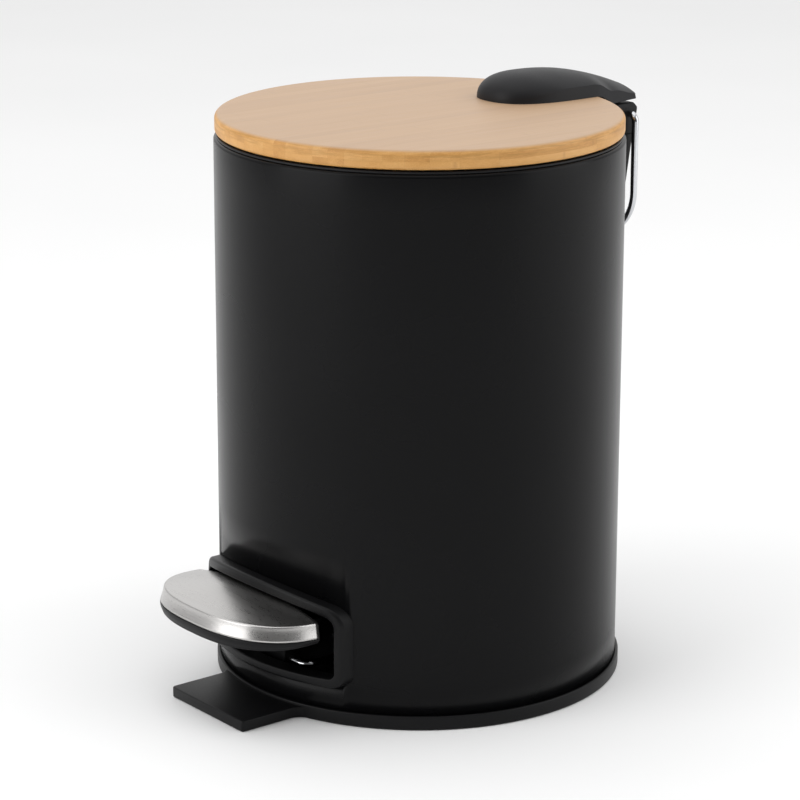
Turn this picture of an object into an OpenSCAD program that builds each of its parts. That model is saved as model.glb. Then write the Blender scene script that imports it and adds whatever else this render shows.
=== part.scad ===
// Pedal trash can, three litres: steel can, bamboo lid, rear soft-close hinge and an inner bucket.
// Millimetres. Origin at the centre of the base's resting face, +Z up, pedal towards -Y.

/* [Can] */
// Outer radius of the steel can
body_r = 85; // [84.5:0.1:85.2]
// Wall thickness of the steel can
wall = 0.6; // [0.5:0.1:0.7]
// Height of the top of the can's rolled rim
rim_z = 229; // [228.8:0.1:229]
// Radius of the rolled rim's bead
bead_r = 1.5; // [1.3:0.1:1.6]

/* [Base] */
// Outer radius of the plastic base
base_r = 86.4; // [86.2:0.1:88]
// Height of the base's outer wall
base_h = 5.8; // [5:0.1:7]
// Thickness of the base's floor
base_floor = 2.2; // [1.8:0.1:2.3]
// Half width of the toe plate in front
toe_half = 25.2; // [20:0.1:30]
// How far forward of the can's axis the toe plate reaches
toe_reach = 111.2; // [105:0.1:115]
// Thickness of the toe plate
toe_t = 4.6; // [3:0.1:5.5]

/* [Lid] */
// Radius of the bamboo disc
lid_r = 84.5; // [84:0.1:85]
// Underside of the bamboo disc
lid_z = 230.6; // [230.4:0.1:230.8]
// Thickness of the bamboo disc
lid_t = 7.8; // [7:0.1:8]
// Angle at which the lid stops
lid_open = 80; // [70:1:80]

/* [Pedal] */
// Half width of the steel pedal cap
pedal_a = 42; // [40:0.1:42.1]
// Length of the pedal cap from its back edge to its nose
pedal_b = 31; // [29:0.1:32]
// Height of the cap's edge at the pedal's back
pedal_z = 46.2; // [45.5:0.1:46.3]
// Upward tilt of the pedal towards its nose, in degrees
pedal_tilt = 3.6; // [2:0.1:4]
// Radius of the lever's steel wire
lever_r = 2; // [1.8:0.1:2.1]

/* [Hinge] */
// Distance of the hinge axis behind the can's axis
hinge_y = 102.7; // [102.5:0.1:102.8]
// Height of the hinge axis
hinge_z = 228; // [227.8:0.1:228.1]
// Horizontal distance from the hinge axis to the push rod's cross pin
crank = 10; // [9.8:0.1:10.1]
// Half width of the rear hinge housing
housing_half = 16; // [15.5:0.1:16.2]
// Radius of the carrying handle's wire
bail_r = 1.5; // [1.3:0.1:1.5]

/* [Bucket] */
// Outer radius of the bucket under its flange
bucket_r = 76; // [74:0.1:76]
// Height of the bucket's underside
bucket_z = 58; // [56:0.5:70]
// Wall thickness of the bucket
bucket_t = 1.4; // [1.2:0.1:1.8]

/* [Hidden] */
$fn = 96;

e = 0.01;
inner_r = body_r - wall;
lid_top = lid_z + lid_t;
floor_z = base_floor + 0.2;
floor_t = 0.8;
fit = 0.05;

// Pedal window and its bezel, seen from the front: a flat sill, upright sides and an arched head.
// Each corner pair is the radius at the head, then at the sill
arch_r = 161;
window_half = 44.2;
window_lo = 19;
window_hi = 53.7;
window_r = [7, 4];
bezel_r = 90;
bezel_half = 46.8;
bezel_lo = 16.4;
bezel_hi = 55.9;
bezel_corner = [9, 5];
bezel_in_half = 43.4;
bezel_in_lo = 20.4;
bezel_in_hi = 51.6;
bezel_in_corner = [5, 2.5];

// Lever: its pivot, its wire's loop and the push rod's travel
pivot_y = -12;
pivot_z = 14;
pivot_r = 2;
tube_r = 4;
lever_z = pivot_z + tube_r + lever_r - 0.4;
lever_half = 22;
lever_front = -76;
lever_rear = 79.5;
lever_bend = 5;
pedal_y = -86;
cap_skirt = 6.3;
cap_t = 0.6;
// Rise of the cap's arched top over its edge at the back, and how steeply that falls to the nose
cap_arch = 4;
cap_slope = 6;

// Push rod
rod_r = 1.5;
rod_x = -7;
rod_y = 80;
rod_bend = 4;
rod_jog_z = 200;
rod_travel = 2 * crank * tan(lid_open / 2) - 0.08;
rod_pin_y = hinge_y - crank;
rod_pin_z = hinge_z - rod_travel / 2;
rod_pin_end = 4.4;

// Hinge
pin_r = 1.5;
hub_r = 4.6;
ear_in = 9.6;
pin_half = 13;
fork_r = 15.3;
fork_slot = 2.35;
housing_y = 107.2;
housing_top = 232.8;
housing_lo = 167;
housing_wall = 2.4;
housing_screw_at = [[8, 181], [-8, 181], [9.5, 207]];
lid_screw_at = [[0, 54], [9, 66], [-9, 66]];

// Carrying handle
bail_x = 19.5;
bail_drop = 33.5;
bail_bend = 3;

// Bucket and its wire handle
bucket_lo_r = bucket_r - 3;
flange_r = 84;
bucket_top = rim_z + 1;
bh_r = 1.25;
bh_x = 68;
bh_z = 221;
bh_bend = 2.5;

// Hinge cover, described along Y
cover_front = 39.5;
cover_back = 107;
cover_steps = 26;
cover_ring = 20;

function smooth(a, b, x) = let (t = max(0, min(1, (x - a) / (b - a)))) t * t * (3 - 2 * t);

// Outline through which the bezel and window are cut, drawn in X and Z. The head is an arc of
// arch_r, and the head's corners touch it from inside
module arched(half, lo, hi, corner) {
    head_x = half - corner[0];
    sill_x = half - corner[1];
    centre = hi - arch_r;
    head_z = centre + sqrt(pow(arch_r - corner[0], 2) - head_x * head_x);
    reach = 1.2;
    for (s = [-1, 1]) {
        translate([s * head_x, head_z]) circle(corner[0]);
        translate([s * sill_x, lo + corner[1]]) circle(corner[1]);
    }
    translate([-half, lo + corner[1]]) square([2 * half, head_z - lo - corner[1]]);
    translate([-sill_x, lo]) square([2 * sill_x, corner[1] + 1]);
    intersection() {
        translate([0, centre]) circle(arch_r, $fn = 360);
        polygon([[-head_x, head_z], [head_x, head_z],
            [head_x * reach, centre + (head_z - centre) * reach],
            [-head_x * reach, centre + (head_z - centre) * reach]]);
    }
}

// Solid slab cut from a 2D shape in X and Z, from y0 to y1
module along_y(y0, y1) {
    translate([0, y1, 0]) rotate([90, 0, 0]) linear_extrude(y1 - y0) children();
}

// Extrudes a 2D shape drawn in Y and Z from x0 to x1
module along_x(x0, x1) {
    translate([x0, 0, 0]) rotate([90, 0, 90]) linear_extrude(x1 - x0) children();
}

module rod_x_dir(x0, x1, y, z, r) {
    translate([x0, y, z]) rotate([0, 90, 0]) cylinder(h = x1 - x0, r = r);
}

// A screw that points along +Z, with its head's underside at z = 0 and a hexagon socket
module screw(r, length, head_r, head_h) {
    socket = head_h * 0.6;
    translate([0, 0, -head_h + socket]) cylinder(h = length + head_h - socket, r = r);
    translate([0, 0, -head_h]) difference() {
        cylinder(h = head_h, r = head_r);
        translate([0, 0, -e]) cylinder(h = socket, r = head_r * 0.45, $fn = 6);
    }
}

/* ---- can ---- */

module body_shell() color("#1c1c1e") difference() {
    rotate_extrude($fn = 180) {
        translate([inner_r, floor_z]) square([wall, rim_z - bead_r - floor_z]);
        difference() {
            translate([body_r - bead_r, rim_z - bead_r]) circle(bead_r, $fn = 48);
            translate([body_r - bead_r, rim_z - bead_r]) circle(bead_r - wall, $fn = 48);
            translate([body_r - 2 * bead_r, rim_z - 2 * bead_r]) square([bead_r, bead_r * 0.7]);
        }
    }
    along_y(-body_r - 5, -40) arched(window_half, window_lo, window_hi, window_r);
    along_y(60, body_r + 5) {
        translate([rod_x, rod_jog_z]) circle(rod_r + 0.8, $fn = 32);
        translate([rod_x, rod_jog_z + rod_travel]) circle(rod_r + 0.8, $fn = 32);
        translate([rod_x - rod_r - 0.8, rod_jog_z]) square([2 * rod_r + 1.6, rod_travel]);
        for (p = housing_screw_at) translate(p) circle(1.7, $fn = 32);
    }
}

module body_floor() color("#8d9196") difference() {
    rotate_extrude($fn = 180) {
        translate([0, floor_z]) square([inner_r - 0.1, floor_t]);
        translate([inner_r - 0.1 - wall, floor_z]) square([wall, 6]);
    }
    for (a = [45:90:315]) rotate(a) translate([78, 0, 0]) cylinder(h = 10, r = 1.5, $fn = 32);
    for (s = [-1, 1]) translate([s * 26, pivot_y, 0]) cylinder(h = 10, r = 1.5, $fn = 32);
}

module plastic_base() color("#18181a") difference() {
    union() {
        rotate_extrude($fn = 180) {
            square([body_r + 0.3, base_floor]);
            translate([body_r + 0.3, 0]) square([base_r - body_r - 0.3, base_h]);
        }
        linear_extrude(toe_t) toe_outline();
    }
    translate([0, 0, base_floor]) cylinder(h = base_h, r = body_r + 0.3, $fn = 180);
    for (a = [45:90:315]) rotate(a) translate([78, 0, 0]) {
        translate([0, 0, -1]) cylinder(h = 10, r = 1.6, $fn = 32);
        translate([0, 0, -1]) cylinder(h = 2.2, r = 3.2, $fn = 32);
    }
}

// Toe plate with a concave fillet on each side where it runs into the round base
module toe_outline() {
    fillet = 6;
    overlap = 0.03;
    reach = base_r + fillet - overlap;
    cx = toe_half + fillet - overlap;
    cy = -sqrt(reach * reach - cx * cx);
    k = (base_r - 1) / reach;
    corner = 1.2;
    translate([-toe_half, -toe_reach + corner]) square([2 * toe_half, toe_reach - corner - 76]);
    translate([-toe_half + corner, -toe_reach]) square([2 * (toe_half - corner), 10]);
    for (s = [-1, 1]) {
        translate([s * (toe_half - corner), -toe_reach + corner]) circle(corner, $fn = 24);
        mirror([s < 0 ? 1 : 0, 0]) difference() {
            polygon([[toe_half - 1, cy], [cx, cy], [cx * k, cy * k], [toe_half - 1, cy + 9]]);
            translate([cx, cy]) circle(fillet);
        }
    }
}

module base_screws() color("silver")
    for (a = [45:90:315]) rotate(a) translate([78, 0, 1.2]) screw(1.45, 4.5, 2.9, 0.9, $fn = 32);

module pedal_bezel() color("#222224") difference() {
    intersection() {
        rotate([0, 0, -135]) rotate_extrude(angle = 90, $fn = 180)
            translate([83.2, 0]) square([bezel_r - 83.2, 70]);
        along_y(-bezel_r - 5, -40) arched(bezel_half, bezel_lo, bezel_hi, bezel_corner);
    }
    along_y(-bezel_r - 5, -40)
        arched(bezel_in_half, bezel_in_lo, bezel_in_hi, bezel_in_corner);
    // Behind the can's wall only the sleeve that lines the window is left
    difference() {
        translate([0, 0, 10]) cylinder(h = 50, r = body_r + 0.05, $fn = 180);
        along_y(-bezel_r, -40) arched(window_half - 0.2, window_lo + 0.2, window_hi - 0.2, window_r);
    }
}

/* ---- pedal mechanism ---- */

module pivot_bracket() color("#9a9da1") difference() {
    union() {
        translate([-35, pivot_y - 8, floor_z + floor_t]) cube([70, 16, 1.2]);
        for (x = [-35, 33]) along_x(x, x + 2) {
            translate([pivot_y - 6, floor_z + floor_t]) square([12, pivot_z - floor_z - floor_t]);
            translate([pivot_y, pivot_z]) circle(6);
        }
    }
    rod_x_dir(-40, 40, pivot_y, pivot_z, pivot_r + fit);
    for (s = [-1, 1]) translate([s * 26, pivot_y, 0]) cylinder(h = 10, r = 1.5, $fn = 32);
}

module bracket_rivets() color("silver") for (s = [-1, 1])
    translate([s * 26, pivot_y, floor_z - 0.01]) {
        cylinder(h = floor_t + 1.3, r = 1.45, $fn = 32);
        translate([0, 0, floor_t + 1.22]) cylinder(h = 0.8, r = 2.6, $fn = 32);
    }

module pivot_pin() color("#b8bbc0") difference() {
    union() {
        rod_x_dir(-35.1, 38, pivot_y, pivot_z, pivot_r);
        rod_x_dir(-36.6, -35.1, pivot_y, pivot_z, 3.2);
    }
    difference() {
        rod_x_dir(36, 37, pivot_y, pivot_z, 4);
        rod_x_dir(35, 38, pivot_y, pivot_z, 1.5);
    }
}

module pivot_clip() color("#777") difference() {
    rod_x_dir(36.1, 36.9, pivot_y, pivot_z, 3.8);
    rod_x_dir(36, 37, pivot_y, pivot_z, 1.55);
    translate([36, pivot_y - 1.2, pivot_z - 5]) cube([1, 2.4, 5]);
}

// Closed loop of steel wire, welded on top of the pivot tube
module pedal_lever() color("#c4c6c9") {
    span = lever_rear - lever_front - 2 * lever_bend;
    difference() {
        union() {
            translate([0, 0, lever_z]) {
                for (s = [-1, 1]) translate([s * lever_half, lever_front + lever_bend, 0])
                    rotate([-90, 0, 0]) cylinder(h = span, r = lever_r, $fn = 32);
                for (y = [lever_front, lever_rear])
                    rod_x_dir(-lever_half + lever_bend, lever_half - lever_bend, y, 0, lever_r);
                for (i = [0:3]) {
                    sx = i == 0 || i == 3 ? 1 : -1;
                    y = i < 2 ? lever_rear - lever_bend : lever_front + lever_bend;
                    translate([sx * (lever_half - lever_bend), y, 0]) rotate(i * 90)
                        rotate_extrude(angle = 90) translate([lever_bend, 0]) circle(lever_r, $fn = 32);
                }
            }
            rod_x_dir(-30, 30, pivot_y, pivot_z, tube_r);
        }
        rod_x_dir(-31, 31, pivot_y, pivot_z, pivot_r + fit);
    }
}

// Outline of the pedal: half a superellipse, a little squarer than an ellipse, straight at the back
oval_power = 2 / 2.58;
oval_step = 180 / 48;
function half_oval(a, b) = [for (t = [0:oval_step:180])
    [a * sign(cos(t)) * pow(abs(cos(t)), oval_power), -b * pow(max(0, sin(t)), oval_power)]];

module pedal_outline(a, b, back)
    polygon(concat([[a, back]], half_oval(a, b), [[-a, back]]));

// The pedal's own frame: z = 0 is the cap's edge, tilted up towards the nose
module pedal_frame() translate([0, pedal_y, pedal_z]) rotate([-pedal_tilt, 0, 0]) children();

// Arched top of the cap: a barrel along Y that slopes down towards the nose
module cap_form(inset, down, back) {
    barrel_r = (pedal_a * pedal_a + cap_arch * cap_arch) / (2 * cap_arch);
    intersection() {
        translate([0, 0, -cap_skirt - down]) linear_extrude(20)
            pedal_outline(pedal_a - inset, pedal_b - inset, back);
        translate([0, 0, cap_arch]) rotate([cap_slope, 0, 0]) translate([0, 40, -barrel_r])
            rotate([90, 0, 0]) cylinder(h = 90, r = barrel_r - inset, $fn = 360);
    }
}

module pedal_cap() color("#c9c9cb") pedal_frame() difference() {
    cap_form(0, 0, 1);
    cap_form(cap_t, 1, 2);
}

module pedal_tray() color("#1d1d1f") difference() {
    union() {
        pedal_frame() {
            translate([0, 0, -cap_skirt - 3]) linear_extrude(3 - 0.05)
                pedal_outline(pedal_a + 0.6, pedal_b + 0.8, 2);
            translate([0, 0, -cap_skirt - 5]) linear_extrude(2 + e)
                pedal_outline(pedal_a - 5, pedal_b - 4, 3);
            translate([0, 0, -cap_skirt - 0.1]) linear_extrude(4)
                pedal_outline(pedal_a - 2, pedal_b - 2, 1);
        }
        along_x(-12, 12) polygon([[-86, 35.2], [-79.4, 35], [-80, 24], [-80, 16.4], [-72, 16.4],
            [-72, 24], [-76, 35.5], [-81, 39]]);
    }
    rod_x_dir(-30, 30, lever_front, lever_z, lever_r + 0.03);
}

/* ---- push rod ---- */

module push_rod() color("#c4c6c9") {
    up = rod_pin_z - rod_jog_z - 2 * rod_bend;
    translate([rod_x, rod_y, 24]) cylinder(h = rod_jog_z - rod_bend - 24, r = rod_r);
    translate([rod_x, rod_y + rod_bend, rod_jog_z - rod_bend]) rotate([90, 0, 90])
        rotate([0, 0, 90]) rotate_extrude(angle = 90) translate([rod_bend, 0]) circle(rod_r, $fn = 32);
    translate([rod_x, rod_y + rod_bend, rod_jog_z]) rotate([-90, 0, 0])
        cylinder(h = rod_pin_y - rod_y - 2 * rod_bend, r = rod_r);
    translate([rod_x, rod_pin_y - rod_bend, rod_jog_z + rod_bend]) rotate([90, 0, 90])
        rotate([0, 0, -90]) rotate_extrude(angle = 90) translate([rod_bend, 0]) circle(rod_r, $fn = 32);
    translate([rod_x, rod_pin_y, rod_jog_z + rod_bend]) cylinder(h = up, r = rod_r);
    translate([rod_x + rod_bend, rod_pin_y, rod_pin_z - rod_bend]) rotate([90, 0, 0])
        rotate([0, 0, 90]) rotate_extrude(angle = 90) translate([rod_bend, 0]) circle(rod_r, $fn = 32);
    rod_x_dir(rod_x + rod_bend, rod_pin_end, rod_pin_y, rod_pin_z, rod_r);
}

// Plastic shoe on the rod's lower end, which straddles the lever's rear wire
module rod_foot() color("#2a2a2c") difference() {
    translate([rod_x - 4.6, 72.8, lever_z - 2.6]) cube([9.2, 10.2, 13]);
    translate([rod_x - 6, 74.4, lever_z - 4]) cube([12, 7.6, 6.4]);
    translate([rod_x, rod_y, 24]) cylinder(h = 20, r = rod_r + 0.02);
}

module rod_channel() color("#8d9196") difference() {
    translate([rod_x - 7, 76.8, 50]) cube([14, 10, 145]);
    translate([rod_x - 6.2, 77.6, 49]) cube([12.4, 10, 147]);
    difference() {
        translate([0, 0, 40]) cylinder(h = 170, r = 120);
        translate([0, 0, 39]) cylinder(h = 172, r = inner_r, $fn = 180);
    }
}

module rod_guides() color("#d8d8d4") for (z = [58, 166]) difference() {
    translate([rod_x - 6.2, 77.6, z]) cube([12.4, 5.4, 8]);
    translate([rod_x, rod_y, z - 1]) cylinder(h = 10, r = rod_r + fit);
}

/* ---- rear hinge ---- */

// Side view of the housing in Y and Z; the inner outline is set in by the wall
module housing_side(s) polygon([[80, housing_lo + s], [89 - s / 2, housing_lo + s],
    [95 - s, 174 + s], [98.2 - s, 182], [100.4 - s, 191], [102 - s, 200], [104.1 - s, 213],
    [housing_y - s, 229.6], [housing_y - s, 230.6], [housing_y - 2.2 - s, housing_top - s / 4],
    [80, housing_top - s / 4]]);

module hinge_housing() color("#202022") difference() {
    union() {
        difference() {
            along_x(-housing_half, housing_half) housing_side(0);
            along_x(-housing_half + housing_wall, housing_half - housing_wall) intersection() {
                housing_side(housing_wall);
                translate([70, housing_lo + housing_wall]) square([60, 218 - housing_lo]);
            }
            translate([-ear_in, 80, 214]) cube([2 * ear_in, 24.2, 30]);
            translate([-ear_in, 80, 220.5]) cube([2 * ear_in, 40, 30]);
        }
        // Screw bosses, from the can's wall to the housing's own back
        intersection() {
            along_x(-housing_half, housing_half) housing_side(0);
            for (p = housing_screw_at) translate([p[0], 80, p[1]]) rotate([-90, 0, 0])
                cylinder(h = 30, r = 3.2, $fn = 48);
        }
    }
    translate([0, 0, housing_lo - 1]) cylinder(h = 80, r = body_r + 0.02, $fn = 180);
    for (p = housing_screw_at) translate([p[0], 80, p[1]]) rotate([-90, 0, 0])
        cylinder(h = 13, r = 1.5, $fn = 32);
    rod_x_dir(-20, 20, hinge_y, hinge_z, pin_r + fit);
}

module housing_screws() color("silver") for (p = housing_screw_at)
    translate([p[0], sqrt(inner_r * inner_r - p[0] * p[0]) - 0.3, p[1]]) rotate([-90, 0, 0])
        screw(1.45, 8, 2.7, 1.6, $fn = 32);

module hinge_pin() color("#b8bbc0")
    rod_x_dir(-pin_half, pin_half, hinge_y, hinge_z, pin_r);

// Rotary damper: the cup sits in the housing's right ear, the rotor turns with the lid
module damper_cup() color("#3a3a3d") difference() {
    rod_x_dir(4.4, ear_in, hinge_y, hinge_z, hub_r);
    rod_x_dir(4, 8.9, hinge_y, hinge_z, 3.3);
    rod_x_dir(4, 12, hinge_y, hinge_z, pin_r + fit);
}

module damper_rotor() color("#e4e2da") difference() {
    rod_x_dir(4, 8.6, hinge_y, hinge_z, 3);
    rod_x_dir(3, 12, hinge_y, hinge_z, pin_r + fit);
}

// Carrying handle: a U of wire that hangs behind the housing, its ends in the housing's bore
module carry_handle() color("#d0d2d6") translate([0, hinge_y, hinge_z]) {
    for (s = [0, 1]) mirror([s, 0, 0]) {
        rod_x_dir(pin_half + 0.3, bail_x - bail_bend, 0, 0, bail_r);
        translate([bail_x - bail_bend, 0, -bail_bend]) rotate([90, 0, 0])
            rotate_extrude(angle = 90) translate([bail_bend, 0]) circle(bail_r, $fn = 32);
        translate([bail_x, 0, -bail_drop]) cylinder(h = bail_drop - bail_bend, r = bail_r);
    }
    translate([0, 0, -bail_drop]) rotate([-90, 0, 0])
        rotate_extrude(angle = 180) translate([bail_x, 0]) circle(bail_r, $fn = 32);
}

/* ---- bucket ---- */

module inner_bucket() color("#2b2b2e") difference() {
    union() {
        rotate_extrude($fn = 180) polygon([[0, bucket_z], [bucket_lo_r, bucket_z],
            [bucket_r, rim_z], [flange_r, rim_z], [flange_r, bucket_top],
            [bucket_r - bucket_t, bucket_top], [bucket_lo_r - bucket_t, bucket_z + bucket_t],
            [0, bucket_z + bucket_t]]);
        for (s = [-1, 1]) rod_x_dir(s > 0 ? 70.5 : -75, s > 0 ? 75 : -70.5, 0, bh_z, 4);
    }
    for (s = [-1, 1])
        rod_x_dir(s > 0 ? 70 : -74, s > 0 ? 74 : -70, 0, bh_z, bh_r + fit);
}

// Wire handle of the bucket, hanging inside it
module bucket_handle() color("#c4c6c9") translate([0, 0, bh_z]) {
    for (s = [0, 1]) mirror([s, 0, 0]) {
        rod_x_dir(bh_x + bh_bend - 0.6, 73.5, 0, 0, bh_r);
        translate([bh_x + bh_bend, 0, -bh_bend]) rotate([90, 0, 0]) rotate([0, 0, 90])
            rotate_extrude(angle = 90) translate([bh_bend, 0]) circle(bh_r, $fn = 32);
    }
    translate([0, 0, -bh_bend]) rotate([-90, 0, 0])
        rotate_extrude(angle = 180) translate([bh_x, 0]) circle(bh_r, $fn = 32);
}

/* ---- lid ---- */

bumper_at = [for (a = [-90, 30, 150]) [80 * cos(a), 80 * sin(a)]];
liner_screw_at = [for (a = [45:90:315]) [60 * cos(a), 60 * sin(a)]];

module lid_disc() color("#d9ab6e") difference() {
    rotate_extrude($fn = 180) {
        round_r = 2;
        translate([0, lid_z]) square([lid_r - round_r, lid_t]);
        translate([0, lid_z + round_r]) square([lid_r, lid_t - 2 * round_r]);
        for (z = [lid_z + round_r, lid_top - round_r])
            translate([lid_r - round_r, z]) circle(round_r, $fn = 48);
    }
    for (p = lid_screw_at) translate([p[0], p[1], lid_z - 1]) cylinder(h = 20, r = 1.7, $fn = 32);
    for (p = liner_screw_at) translate([p[0], p[1], lid_z - 1]) cylinder(h = 6, r = 1.5, $fn = 32);
    for (p = bumper_at) translate([p[0], p[1], lid_z - 1]) cylinder(h = 2.4, r = 3, $fn = 32);
}

module lid_liner() color("#202022") difference() {
    rotate_extrude($fn = 180) {
        translate([0, lid_z - 1.6]) square([74.2, 1.6]);
        translate([73, lid_z - 5]) square([1.2, 5]);
    }
    for (p = lid_screw_at) translate([p[0], p[1], lid_z - 4]) cylinder(h = 8, r = 1.7, $fn = 32);
    for (p = liner_screw_at) translate([p[0], p[1], lid_z - 4]) cylinder(h = 8, r = 1.5, $fn = 32);
}

module liner_screws() color("silver") for (p = liner_screw_at)
    translate([p[0], p[1], lid_z - 1.6]) screw(1.45, 6, 2.8, 1.4, $fn = 32);

module lid_bumpers() color("#555") for (p = bumper_at)
    translate([p[0], p[1], lid_z - 0.3]) cylinder(h = 1.6, r = 2.95, $fn = 32);

module lid_screws() color("silver") for (p = lid_screw_at)
    translate([p[0], p[1], lid_z - 1.6]) screw(1.45, 13, 2.8, 1.4, $fn = 32);

// Arm under the cover: a plate on the lid, a neck over the rim, the hinge eye and the crank's fork
module lid_bracket() color("#5b5d60") difference() {
    union() {
        translate([-13, 49, lid_top]) cube([26, 35, 2.6]);
        for (p = lid_screw_at) translate([p[0], p[1], lid_top]) cylinder(h = 5.4, r = 3.4, $fn = 48);
        along_x(-8.4, 8.4) polygon([[78, lid_top], [84, lid_top], [86.5, 236.6], [95, 234],
            [104, 233.4], [104.8, 234.4], [100, 236.2], [91, 239], [78, 241.4]]);
        along_x(-4, 4) {
            translate([hinge_y, hinge_z]) circle(hub_r);
            polygon([[97.9, 235], [98.4, 227], [107.1, 228.2], [105.2, 235]]);
        }
        along_x(-3, 3) translate([hinge_y, hinge_z]) rotate(180 + lid_open / 2) {
            for (s = [-1, 1]) translate([0, s > 0 ? fork_slot : -fork_slot - 1.9])
                square([fork_r, 1.9]);
            translate([0, -fork_slot - 1.9]) square([7.4, 2 * fork_slot + 3.8]);
        }
    }
    rod_x_dir(-9, 9, hinge_y, hinge_z, pin_r + fit);
    for (p = lid_screw_at) translate([p[0], p[1], lid_z]) cylinder(h = 12.4, r = 1.5, $fn = 32);
}

/* ---- hinge cover ---- */

// Half width, crown height and lower edge of the cover at a distance y behind the can's axis
function cover_half(y) = y < 64 ? 21.6 * pow(1 - pow((64 - y) / (64 - cover_front), 2.5), 1 / 2.5)
    : 21.6 - 5.4 * smooth(76, 112, y);
function cover_crown(y) = lid_top + 11.1 * pow(1 - pow(max(0, (58 - y) / (58 - cover_front)), 2.6),
    1 / 2.6) - 13.4 * smooth(58, 120, y);
function cover_low(y) = lid_top + 0.05 - 4.15 * smooth(83.5, 95.5, y);

// One section of the cover: points run over the crown from one lower corner to the other
function cover_section(y, inset, drop) =
    let (w = max(0.3, cover_half(y) - inset), lo = cover_low(y) - drop,
        hi = max(lo + 0.3, cover_crown(y) - inset))
    [for (i = [0:cover_ring]) let (a = 180 * i / cover_ring)
        [-w * sign(cos(a)) * pow(abs(cos(a)), 0.62), y, lo + (hi - lo) * pow(sin(a), 0.62)]];

module cover_form(y0, y1, inset, drop) {
    n = cover_ring + 1;
    ys = [for (i = [0:cover_steps]) y0 + (y1 - y0) * (1 - cos(90 * i / cover_steps))];
    points = [for (y = ys) each cover_section(y, inset, drop)];
    faces = [
        [for (i = [0:cover_ring]) i],
        for (k = [0:cover_steps - 1], i = [0:cover_ring])
            [k * n + i, (k + 1) * n + i, (k + 1) * n + (i + 1) % n],
        for (k = [0:cover_steps - 1], i = [0:cover_ring])
            [k * n + i, (k + 1) * n + (i + 1) % n, k * n + (i + 1) % n],
        [for (i = [0:cover_ring]) cover_steps * n + cover_ring - i]
    ];
    polyhedron(points, faces);
}

module hinge_cover() color("#2a2a2c") difference() {
    cover_form(cover_front + 0.05, cover_back, 0, 0);
    cover_form(cover_front + 3, cover_back - 1.6, 2, 2);
}

body_shell();
body_floor();
plastic_base();
base_screws();
pedal_bezel();
pivot_bracket();
bracket_rivets();
pivot_pin();
pivot_clip();
rod_channel();
rod_guides();
hinge_housing();
housing_screws();
hinge_pin();
damper_cup();
inner_bucket();
bucket_handle();
carry_handle();
pedal_cap();
pedal_tray();
pedal_lever();
push_rod();
rod_foot();
lid_disc();
lid_liner();
liner_screws();
lid_bumpers();
lid_bracket();
lid_screws();
damper_rotor();
hinge_cover();
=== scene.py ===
"""Looks of a three-litre pedal trash can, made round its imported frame.

Every new piece is a surface worked out with numpy: a profile turned round the can's axis, a flat
outline given a thickness, a round wire carried along a path, or a formula of two parameters.
Shapes are worked out in millimetres, and mesh_piece turns them into metres.
"""
import math

import bpy
import numpy as np
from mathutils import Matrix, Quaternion, Vector


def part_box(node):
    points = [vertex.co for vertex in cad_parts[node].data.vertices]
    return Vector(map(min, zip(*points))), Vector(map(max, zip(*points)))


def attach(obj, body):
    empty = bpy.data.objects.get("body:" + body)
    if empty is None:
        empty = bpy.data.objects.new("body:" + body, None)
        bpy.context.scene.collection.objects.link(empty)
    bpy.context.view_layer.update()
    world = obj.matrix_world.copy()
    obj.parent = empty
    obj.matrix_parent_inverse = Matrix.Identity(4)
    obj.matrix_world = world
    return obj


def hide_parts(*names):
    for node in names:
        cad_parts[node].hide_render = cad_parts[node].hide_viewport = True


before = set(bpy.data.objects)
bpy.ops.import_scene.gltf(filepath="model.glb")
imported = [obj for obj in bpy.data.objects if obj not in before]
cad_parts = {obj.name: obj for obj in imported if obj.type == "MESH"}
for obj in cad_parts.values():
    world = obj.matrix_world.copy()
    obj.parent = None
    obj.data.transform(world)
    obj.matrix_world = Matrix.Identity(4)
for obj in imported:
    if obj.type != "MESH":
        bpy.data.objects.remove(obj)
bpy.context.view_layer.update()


def corners(node):
    """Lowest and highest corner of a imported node, in millimetres."""
    low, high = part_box(node)
    return np.array(low) * 1000, np.array(high) * 1000


# ---------------------------------------------------------------- shapes


def smooth(start, end, x):
    """Goes from 0 to 1 as x goes from start to end, level at both ends: t t (3 - 2 t)."""
    t = np.clip((x - start) / (end - start), 0, 1)
    return t * t * (3 - 2 * t)


def grid_faces(rows, cols, wrap_rows=False, wrap_cols=False):
    """Quads between the neighbouring points of a grid, joined round either way where it wraps."""
    first_rows, first_cols = np.arange(rows - (not wrap_rows)), np.arange(cols - (not wrap_cols))
    i, j = np.meshgrid(first_rows, first_cols, indexing="ij")
    below, right = (i + 1) % rows, (j + 1) % cols
    quads = np.stack([i * cols + j, i * cols + right, below * cols + right, below * cols + j], -1)
    return quads.reshape(-1, 4).tolist()


def outward(points, faces):
    """The same faces, turned over together when the volume that they enclose comes out negative."""
    fans = np.array([(f[0], f[k], f[k + 1]) for f in faces for k in range(1, len(f) - 1)])
    a, b, c = (np.asarray(points)[fans[:, k]] for k in range(3))
    if np.einsum("ij,ij->", a, np.cross(b, c)) < 0:
        return [f[::-1] for f in faces]
    return faces


def together(*shapes):
    """Several shapes, each a pair of points and faces, as one."""
    points, faces, count = [], [], 0
    for shape_points, shape_faces in shapes:
        points.append(np.asarray(shape_points, float).reshape(-1, 3))
        faces += [[k + count for k in f] for f in shape_faces]
        count += len(points[-1])
    return np.concatenate(points), faces


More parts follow.
